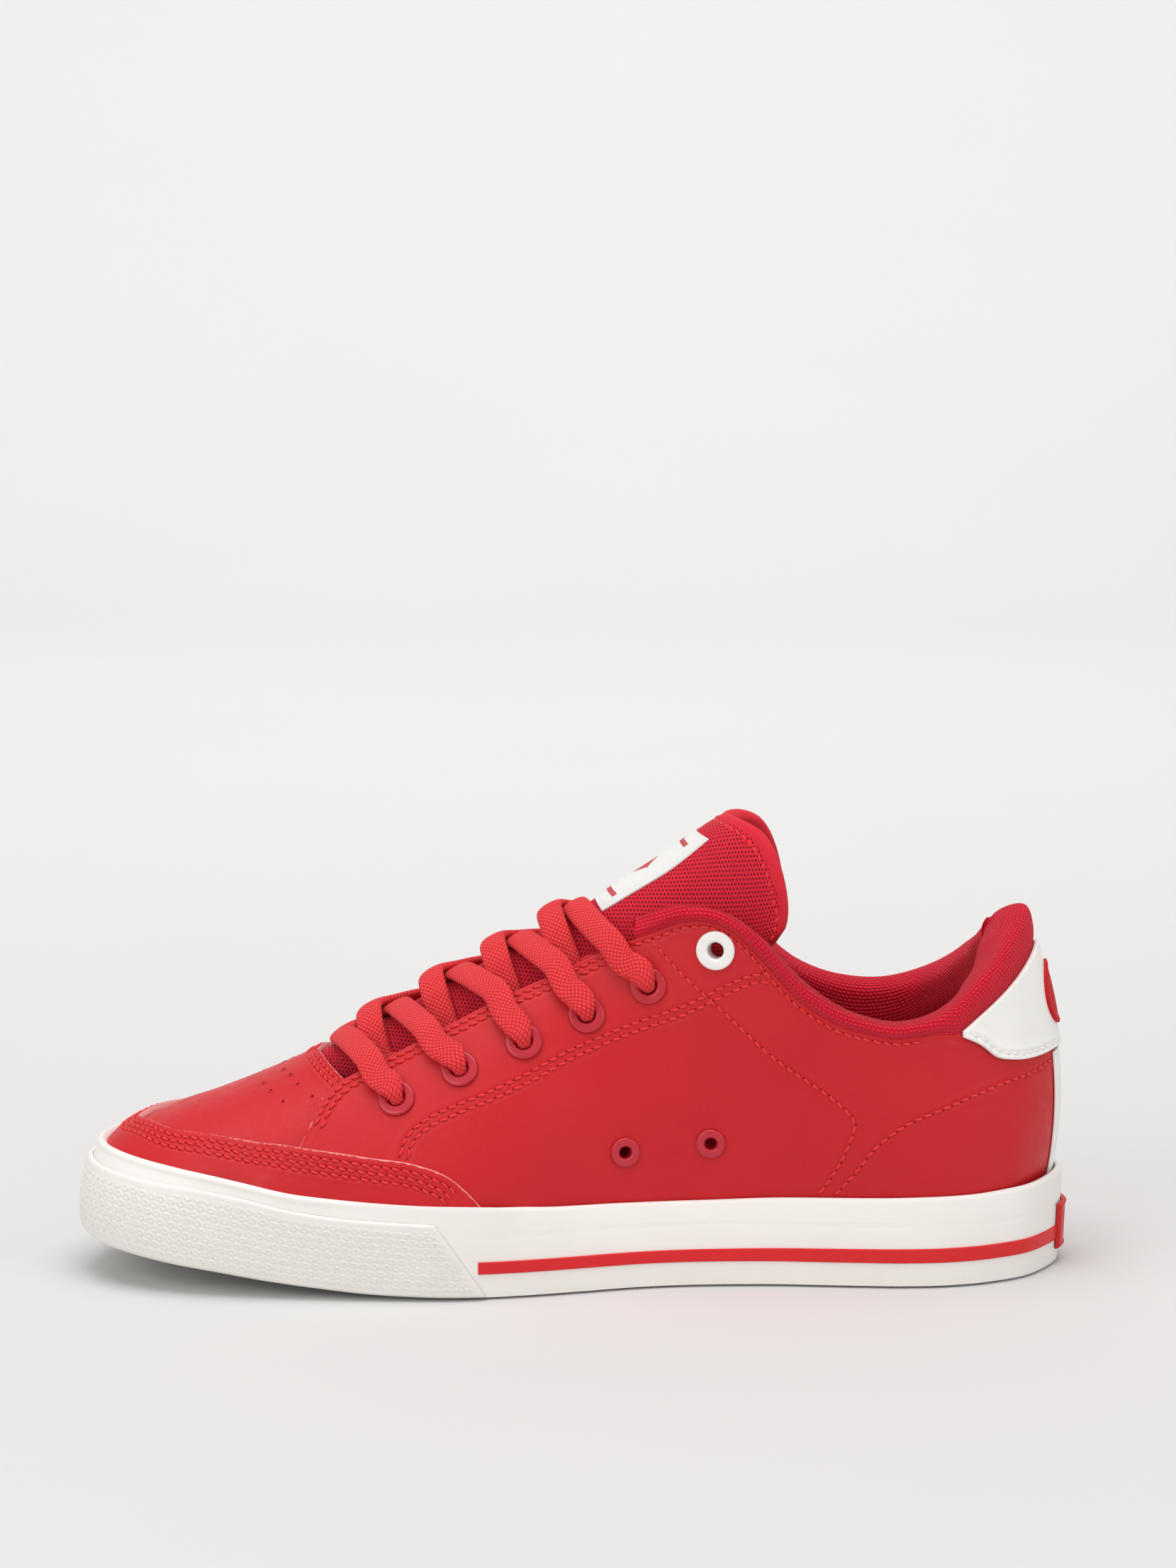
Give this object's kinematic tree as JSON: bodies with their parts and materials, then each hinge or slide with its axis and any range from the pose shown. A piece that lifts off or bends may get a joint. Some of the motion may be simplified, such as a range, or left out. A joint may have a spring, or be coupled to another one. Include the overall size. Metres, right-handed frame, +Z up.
{
  "type": "low-top lace-up sneaker",
  "caption": "Low-cut lace-up leather sneaker for the right foot, with a foxed rubber cupsole, bumper toe cap, padded collar, mesh tongue and braided lace.",
  "frame": {"origin": "under the middle of the shoe's bounding box, on the floor plane it stands on", "axes": "+X towards the heel (toe at -X), +Y towards the outer (lateral) side, +Z up"},
  "size_m": [0.3023, 0.1132, 0.1395],
  "materials": {
    "red_leather": "smooth full-grain with a fine grain",
    "red_lining": "woven textile",
    "crimson_knit": "ribbed brushed knit",
    "crimson_mesh": "air mesh",
    "red_braid": "braided oval lace",
    "white_rubber": "matte vulcanised",
    "white_bumper": "textured matte",
    "red_rubber": "matte",
    "red_patch": "matte",
    "white_foam": "open foam",
    "grey_board": "pressed fibre board",
    "white_leather": "smooth",
    "red_eyelet": "satin enamel",
    "white_eyelet": "satin enamel",
    "clear_red_plastic": "glossy film"
  },
  "bodies": {
    "shoe": {"aglet_lateral": "clear_red_plastic", "aglet_medial": "clear_red_plastic", "backstay": "white_leather", "collar_foam": "white_foam", "collar_lining": "crimson_knit", "eyestay_backing_lateral": "grey_board", "eyestay_backing_medial": "grey_board", "foxing_band": "white_rubber", "foxing_stripe": "red_rubber", "heel_counter": "grey_board", "heel_emblem": "red_patch", "heel_patch": "red_patch", "heel_tab": "white_leather", "insole_board": "grey_board", "lace": "red_braid", "lace_eyelet_lateral_1": "red_eyelet", "lace_eyelet_lateral_2": "red_eyelet", "lace_eyelet_lateral_3": "red_eyelet", "lace_eyelet_lateral_4": "red_eyelet", "lace_eyelet_lateral_5": "red_eyelet", "lace_eyelet_lateral_6": "white_eyelet", "lace_eyelet_medial_1": "red_eyelet", "lace_eyelet_medial_2": "red_eyelet", "lace_eyelet_medial_3": "red_eyelet", "lace_eyelet_medial_4": "red_eyelet", "lace_eyelet_medial_5": "red_eyelet", "lace_eyelet_medial_6": "white_eyelet", "midsole": "white_foam", "mudguard": "red_leather", "outsole": "white_rubber", "quarter_lateral": "red_leather", "quarter_lining_lateral": "red_lining", "quarter_lining_medial": "red_lining", "quarter_medial": "red_leather", "sockliner": "crimson_knit", "toe_bumper": "white_bumper", "toe_puff": "grey_board", "tongue_base": "crimson_mesh", "vamp": "red_leather", "vamp_lining": "red_lining", "vent_eyelet_1": "red_eyelet", "vent_eyelet_2": "red_eyelet"},
    "tongue_top": {"tongue_cover": "crimson_mesh", "tongue_foam": "white_foam", "tongue_lining": "crimson_knit", "tongue_binding": "crimson_knit", "tongue_label": "white_leather"}
  },
  "joints": [
    {"name": "tongue_flex", "type": "hinge", "parent": "shoe", "child": "tongue_top", "pos_m": [0.00509, -0.00232, 0.11097], "axis": [0, -1, 0], "range_deg": [-4, 30], "stiffness_Nm_per_rad": 0.15}
  ]
}
